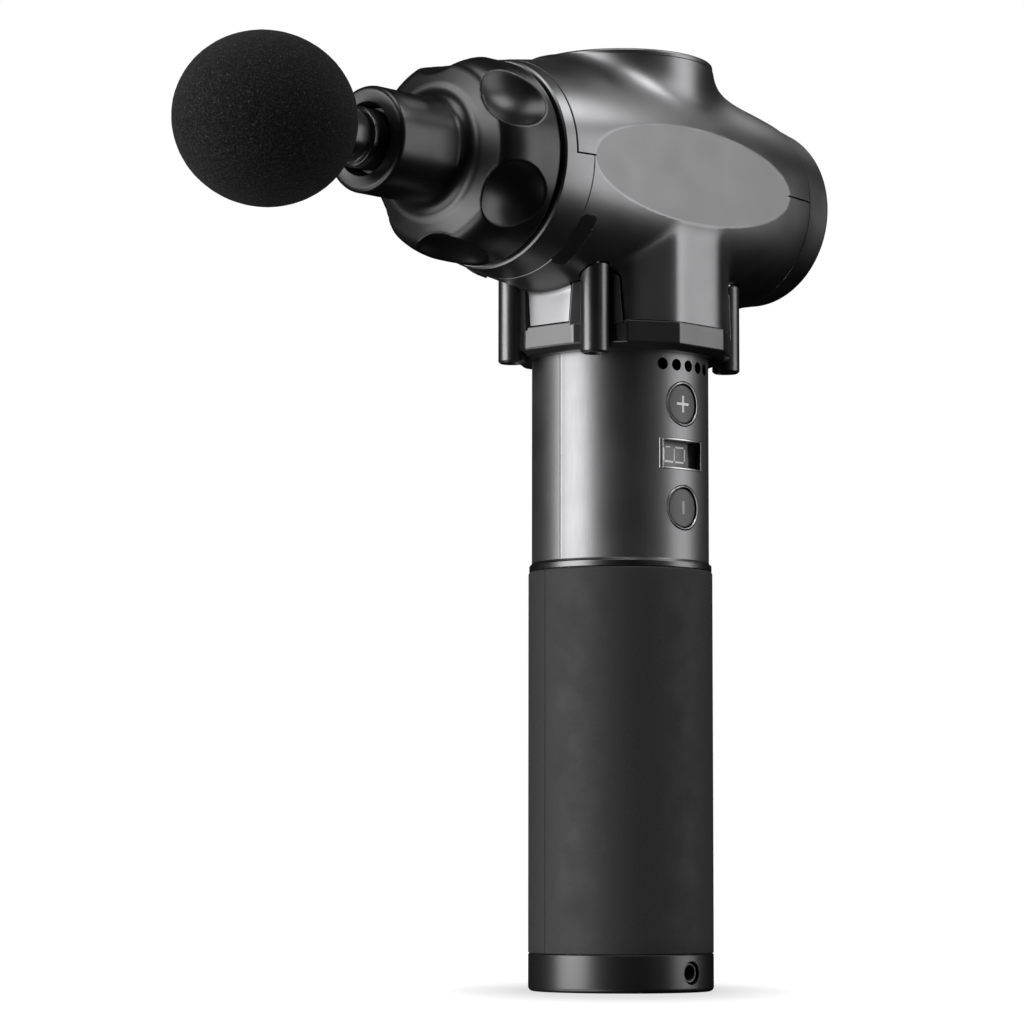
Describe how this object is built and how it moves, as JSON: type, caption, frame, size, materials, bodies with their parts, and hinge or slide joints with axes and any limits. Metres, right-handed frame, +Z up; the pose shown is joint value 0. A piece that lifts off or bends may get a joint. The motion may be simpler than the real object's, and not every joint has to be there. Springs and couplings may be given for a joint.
{
  "type": "massage gun",
  "caption": "Straight-handled percussion massage gun: barrel head with a scooped nose, foam ball on a reciprocating plunger, plus and minus buttons, small display.",
  "frame": {"origin": "centre of the foot's flat bottom face, on the handle axis", "axes": "+Z up the handle, -Y along the stroke towards the foam ball, +X the side with the buttons, display and charging hole"},
  "size_m": [0.0552, 0.2037, 0.2373],
  "materials": {
    "housing_plastic": "satin dark gunmetal paint on moulded plastic",
    "nose_plastic": "satin black",
    "seal_rubber": "black rubber",
    "side_plate_plastic": "even mid-grey satin",
    "collar_plastic": "dark gunmetal satin",
    "screw_steel": "black-oxide and plain steel",
    "tube_finish": "satin gunmetal anodised",
    "trim_plastic": "gloss black",
    "grip_rubber": "matte charcoal silicone",
    "black_plastic": "black nylon",
    "copper_wire": "enamelled or insulated copper",
    "bezel_metal": "turned ring, satin",
    "display_window": "smoked window",
    "display_module": "grey digit field",
    "circuit_board": "solder-mask green",
    "switch_metal": "stamped steel",
    "ribbon_plastic": "flat white cable",
    "cell_wrap": "blue shrink wrap",
    "carrier_plastic": "black nylon",
    "strap_nickel": "nickel strip",
    "cast_aluminium": "die cast",
    "bearing_steel": "ground steel",
    "core_steel": "dark laminated steel",
    "bronze": "sintered bronze",
    "plunger_metal": "hard-anodised tube",
    "stem_plastic": "glossy black",
    "foam": "dense black foam with a velvety skin",
    "button_plastic": "dark satin with a light sign"
  },
  "bodies": {
    "housing": {"upper_shell": "housing_plastic", "lower_shell": "housing_plastic", "front_ring": "housing_plastic", "nose_cap": "nose_plastic", "nose_seal": "seal_rubber", "rear_cap": "housing_plastic", "tower_cap": "housing_plastic", "side_plate_right": "side_plate_plastic", "side_plate_left": "side_plate_plastic", "collar": "collar_plastic", "collar_screws": "screw_steel", "handle_tube": "tube_finish", "grip_ring": "trim_plastic", "grip_sleeve": "grip_rubber", "foot_cap": "trim_plastic", "foot_screws": "screw_steel", "charge_jack": "black_plastic", "charge_leads": "copper_wire", "button_bezels": "bezel_metal", "display_lens": "display_window", "led_display": "display_module", "control_board": "circuit_board", "tact_switches": "switch_metal", "control_ribbon": "ribbon_plastic", "battery_cells": "cell_wrap", "battery_frame": "carrier_plastic", "cell_straps": "strap_nickel", "protection_board": "circuit_board", "driver_board": "circuit_board", "battery_leads": "copper_wire", "motor_leads": "copper_wire", "drive_frame": "cast_aluminium", "frame_screws": "screw_steel", "motor_mount": "cast_aluminium", "motor_screws": "screw_steel", "motor_bearings": "bearing_steel", "stator": "core_steel", "stator_windings": "copper_wire", "plunger_bush": "bronze"},
    "crank": {"motor_can": "core_steel", "magnets": "core_steel", "motor_shaft": "bearing_steel", "crank_disc": "bronze", "crank_pin": "bearing_steel", "pin_roller": "bearing_steel"},
    "plunger": {"drive_yoke": "black_plastic", "plunger": "plunger_metal", "yoke_screws": "screw_steel"},
    "attachment": {"ball_stem": "stem_plastic", "stem_rings": "seal_rubber", "foam_ball": "foam"},
    "plus_key": {"plus_button": "button_plastic"},
    "minus_key": {"minus_button": "button_plastic"}
  },
  "joints": [
    {"name": "crank_turn", "type": "hinge", "parent": "housing", "child": "crank", "pos_m": [0, 0, 0.2089], "axis": [0, 0, -1], "range_deg": [-60, 60]},
    {"name": "plunger_stroke", "type": "slide", "parent": "housing", "child": "plunger", "axis": [0, -1, 0], "range_m": [-0.0051, 0.0051]},
    {"name": "attachment_pull", "type": "slide", "parent": "plunger", "child": "attachment", "axis": [0, -1, 0], "range_m": [0, 0.03]},
    {"name": "plus_press", "type": "slide", "parent": "housing", "child": "plus_key", "axis": [-0.9981, 0.061, 0], "range_m": [0, 0.0005], "stiffness_N_per_m": 800},
    {"name": "minus_press", "type": "slide", "parent": "housing", "child": "minus_key", "axis": [-0.9981, 0.061, 0], "range_m": [0, 0.0005], "stiffness_N_per_m": 800}
  ],
  "couplings": [
    {"joint": "plunger_stroke", "follows": "crank_turn", "m_per_rad": 0.004785}
  ]
}
